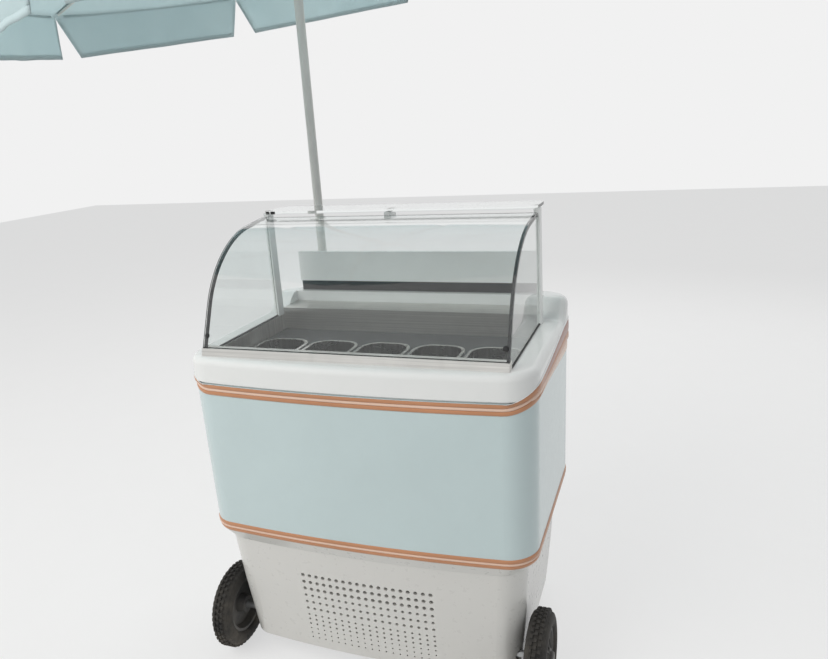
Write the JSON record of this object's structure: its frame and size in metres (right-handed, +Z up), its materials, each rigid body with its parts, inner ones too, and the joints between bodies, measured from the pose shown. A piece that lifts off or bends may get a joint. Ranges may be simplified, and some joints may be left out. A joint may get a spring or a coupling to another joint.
{
  "type": "ice cream cart",
  "caption": "Round-cornered scooping cart for ice cream: curved glass guard over a row of tubs, side road wheels, swivel casters and a parasol.",
  "frame": {"origin": "on the ground under the middle of the box round the whole cart with its parasol", "axes": "+Z up, +X to the right end of the cart as the customer sees it, -Y towards the customer"},
  "size_m": [1.9522, 1.9474, 2.3239],
  "materials": {
    "white_moulding": "gloss",
    "aqua_panel": "gloss",
    "steel_sheet": "brushed",
    "dark_deck": "matte",
    "clear_glass": "clear",
    "black_seal": "matte",
    "white_plastic": "satin",
    "dark_metal": "satin",
    "zinc_steel": "satin",
    "tyre": "matte",
    "wheel_plastic": "satin",
    "pole_paint": "satin",
    "cloth": "matte"
  },
  "bodies": {
    "cart": {"lower_skirt": "white_moulding", "upper_body": "aqua_panel", "rim_moulding": "white_moulding", "well_liner": "steel_sheet", "tub_deck": "dark_deck", "tub_1": "steel_sheet", "tub_2": "steel_sheet", "tub_3": "steel_sheet", "tub_4": "steel_sheet", "tub_5": "steel_sheet", "rear_ledge": "steel_sheet", "upstand_foot": "black_seal", "rear_upstand": "white_plastic", "sill_strip": "steel_sheet", "front_glass": "clear_glass", "end_glass_left": "clear_glass", "end_glass_right": "clear_glass", "end_seal_left": "black_seal", "end_seal_right": "black_seal", "post_left": "white_plastic", "post_right": "white_plastic", "top_clamp": "white_plastic", "shelf_glass": "clear_glass", "base_pan": "zinc_steel", "cooling_unit": "dark_metal", "axle": "zinc_steel", "axle_block_left": "dark_metal", "axle_block_right": "dark_metal", "caster_plate_left": "zinc_steel", "caster_plate_right": "zinc_steel", "parasol_holder": "dark_metal", "parasol_pole": "pole_paint", "parasol_knuckle": "white_plastic", "parasol_mast": "pole_paint", "parasol_cloth": "cloth", "parasol_ribs": "pole_paint", "parasol_struts": "pole_paint"},
    "wheel_body_left": {"tyre_left": "tyre", "wheel_left": "wheel_plastic", "hub_cap_left": "wheel_plastic"},
    "wheel_body_right": {"tyre_right": "tyre", "wheel_right": "wheel_plastic", "hub_cap_right": "wheel_plastic"},
    "caster_left": {"caster_fork_left": "zinc_steel"},
    "caster_roll_left": {"caster_wheel_left": "tyre"},
    "caster_right": {"caster_fork_right": "zinc_steel"},
    "caster_roll_right": {"caster_wheel_right": "tyre"}
  },
  "joints": [
    {"name": "wheel_spin_left", "type": "hinge", "parent": "cart", "child": "wheel_body_left", "pos_m": [-0.10547, -0.53854, 0.125], "axis": [1, 0, 0], "continuous": true},
    {"name": "caster_swivel_left", "type": "hinge", "parent": "cart", "child": "caster_left", "pos_m": [0.09853, -0.20654, 0.1988], "axis": [0, 0, 1], "continuous": true},
    {"name": "caster_spin_left", "type": "hinge", "parent": "caster_left", "child": "caster_roll_left", "pos_m": [0.09853, -0.16854, 0.08], "axis": [1, 0, 0], "continuous": true},
    {"name": "wheel_spin_right", "type": "hinge", "parent": "cart", "child": "wheel_body_right", "pos_m": [0.80653, -0.53854, 0.125], "axis": [1, 0, 0], "continuous": true},
    {"name": "caster_swivel_right", "type": "hinge", "parent": "cart", "child": "caster_right", "pos_m": [0.60253, -0.20654, 0.1988], "axis": [0, 0, 1], "continuous": true},
    {"name": "caster_spin_right", "type": "hinge", "parent": "caster_right", "child": "caster_roll_right", "pos_m": [0.60253, -0.16854, 0.08], "axis": [1, 0, 0], "continuous": true}
  ]
}
